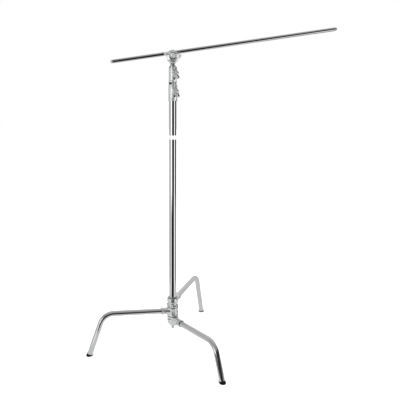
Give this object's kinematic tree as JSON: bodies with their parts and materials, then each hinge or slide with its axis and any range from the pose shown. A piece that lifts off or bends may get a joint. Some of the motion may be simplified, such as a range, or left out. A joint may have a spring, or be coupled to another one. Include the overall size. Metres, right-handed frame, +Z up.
{
  "type": "c stand",
  "caption": "Chrome light stand with three bent tube legs that nest, telescoping column with clamp handles, and a swivelling grip head holding a long plain arm.",
  "frame": {"origin": "centre of the bounding box's bottom face, on the floor; the column's axis stands at x = -150.4 mm, y = -13.8 mm", "axes": "+Z up along the column, +X the way the long end of the arm points, -Y the way the grip head's handle faces"},
  "size_m": [1.1172, 0.7468, 1.4857],
  "materials": {
    "chrome_tube": "polished chrome plating on drawn steel tube",
    "chrome_cast": "chrome plating over a slightly grained casting",
    "steel_fitting": "turned, zinc bright",
    "dark_steel": "black oxide",
    "clamp_brass": "plain turned",
    "foot_rubber": "matt moulded",
    "guide_nylon": "matt moulded",
    "friction_fibre": "pressed fibre",
    "white_label": "satin film"
  },
  "bodies": {
    "base": {"front_leg_hub": "chrome_cast", "front_leg_tube": "chrome_tube", "front_leg_pin": "steel_fitting", "front_foot_cap": "foot_rubber", "lower_tube": "chrome_tube", "lower_tube_plug": "steel_fitting", "base_end_bolt": "steel_fitting", "lower_thrust_washer": "guide_nylon", "upper_thrust_washer": "guide_nylon", "wave_spring": "dark_steel", "retaining_ring": "dark_steel", "label_band": "white_label", "lower_collar": "chrome_cast", "lower_collar_screw": "dark_steel"},
    "left_leg": {"left_leg_hub": "chrome_cast", "left_leg_tube": "chrome_tube", "left_leg_pin": "steel_fitting", "left_foot_cap": "foot_rubber"},
    "back_leg": {"back_leg_hub": "chrome_cast", "back_leg_tube": "chrome_tube", "back_leg_pin": "steel_fitting", "back_foot_cap": "foot_rubber"},
    "lower_clamp_pad_slider": {"lower_clamp_pad": "clamp_brass"},
    "lower_clamp_screw_turner": {"lower_clamp_screw": "chrome_cast", "lower_clamp_handle": "chrome_cast"},
    "middle_riser": {"middle_tube": "chrome_tube", "middle_tube_foot": "guide_nylon", "upper_collar": "chrome_cast", "upper_collar_screw": "dark_steel"},
    "upper_clamp_pad_slider": {"upper_clamp_pad": "clamp_brass"},
    "upper_clamp_screw_turner": {"upper_clamp_screw": "chrome_cast", "upper_clamp_handle": "chrome_cast"},
    "top_riser": {"top_tube": "chrome_tube", "top_tube_foot": "guide_nylon", "stud": "steel_fitting", "stud_pin": "steel_fitting"},
    "grip_head": {"head_socket": "chrome_cast", "friction_disc": "friction_fibre", "centre_bolt": "steel_fitting"},
    "stud_clamp_pad_slider": {"stud_clamp_pad": "clamp_brass"},
    "stud_clamp_screw_turner": {"stud_clamp_screw": "chrome_cast", "stud_clamp_handle": "chrome_cast"},
    "jaws": {"inner_jaw": "chrome_cast", "jaw_spring": "dark_steel"},
    "front_jaw": {"outer_jaw": "chrome_cast", "pressure_washer": "steel_fitting", "thrust_bearing": "steel_fitting"},
    "head_handle": {"head_handle_hub": "chrome_cast", "head_handle_bar": "chrome_cast"},
    "arm": {"arm_tube": "chrome_tube", "arm_tip_near": "steel_fitting", "arm_tip_far": "steel_fitting"}
  },
  "joints": [
    {"name": "left_leg_turn", "type": "hinge", "parent": "base", "child": "left_leg", "pos_m": [-0.15036, -0.01378, 0.17], "axis": [0, 0, 1], "range_deg": [0, 99]},
    {"name": "back_leg_turn", "type": "hinge", "parent": "base", "child": "back_leg", "pos_m": [-0.15036, -0.01378, 0.218], "axis": [0, 0, 1], "range_deg": [-119, 0]},
    {"name": "lower_pad_travel", "type": "slide", "parent": "base", "child": "lower_clamp_pad_slider", "axis": [0.4695, -0.8829, 0], "range_m": [0, 0.0025]},
    {"name": "lower_screw_turn", "type": "hinge", "parent": "lower_clamp_pad_slider", "child": "lower_clamp_screw_turner", "pos_m": [-0.15036, -0.01378, 1.217], "axis": [0.4695, -0.8829, 0], "range_deg": [0, 720]},
    {"name": "middle_riser_lift", "type": "slide", "parent": "base", "child": "middle_riser", "axis": [0, 0, 1], "range_m": [0, 0.93]},
    {"name": "upper_pad_travel", "type": "slide", "parent": "middle_riser", "child": "upper_clamp_pad_slider", "axis": [0.4695, -0.8829, 0], "range_m": [0, 0.0025]},
    {"name": "upper_screw_turn", "type": "hinge", "parent": "upper_clamp_pad_slider", "child": "upper_clamp_screw_turner", "pos_m": [-0.15036, -0.01378, 1.296], "axis": [0.4695, -0.8829, 0], "range_deg": [0, 720]},
    {"name": "top_riser_lift", "type": "slide", "parent": "middle_riser", "child": "top_riser", "axis": [0, 0, 1], "range_m": [0, 0.93]},
    {"name": "head_swivel", "type": "hinge", "parent": "top_riser", "child": "grip_head", "pos_m": [-0.15036, -0.01378, 1.357], "axis": [0, 0, 1], "continuous": true},
    {"name": "stud_pad_travel", "type": "slide", "parent": "grip_head", "child": "stud_clamp_pad_slider", "axis": [0, 1, 0], "range_m": [0, 0.0025]},
    {"name": "stud_screw_turn", "type": "hinge", "parent": "stud_clamp_pad_slider", "child": "stud_clamp_screw_turner", "pos_m": [-0.15036, -0.01378, 1.357], "axis": [0, 1, 0], "range_deg": [0, 720]},
    {"name": "arm_tilt", "type": "hinge", "parent": "grip_head", "child": "jaws", "pos_m": [-0.15036, -0.04378, 1.3655], "axis": [0, -1, 0], "range_deg": [-70, 85]},
    {"name": "front_jaw_travel", "type": "slide", "parent": "jaws", "child": "front_jaw", "axis": [0, -1, 0], "range_m": [0, 0.003]},
    {"name": "head_handle_turn", "type": "hinge", "parent": "front_jaw", "child": "head_handle", "pos_m": [-0.15036, -0.08378, 1.3655], "axis": [0, -1, 0], "range_deg": [0, 720]},
    {"name": "arm_slide", "type": "slide", "parent": "jaws", "child": "arm", "axis": [0.9905, 0, 0.1376], "range_m": [-0.65, 0.22]}
  ],
  "couplings": [
    {"joint": "lower_pad_travel", "follows": "lower_screw_turn", "m_per_rad": 0.00019894},
    {"joint": "upper_pad_travel", "follows": "upper_screw_turn", "m_per_rad": 0.00019894},
    {"joint": "stud_pad_travel", "follows": "stud_screw_turn", "m_per_rad": 0.00019894},
    {"joint": "front_jaw_travel", "follows": "head_handle_turn", "m_per_rad": 0.00023873}
  ]
}
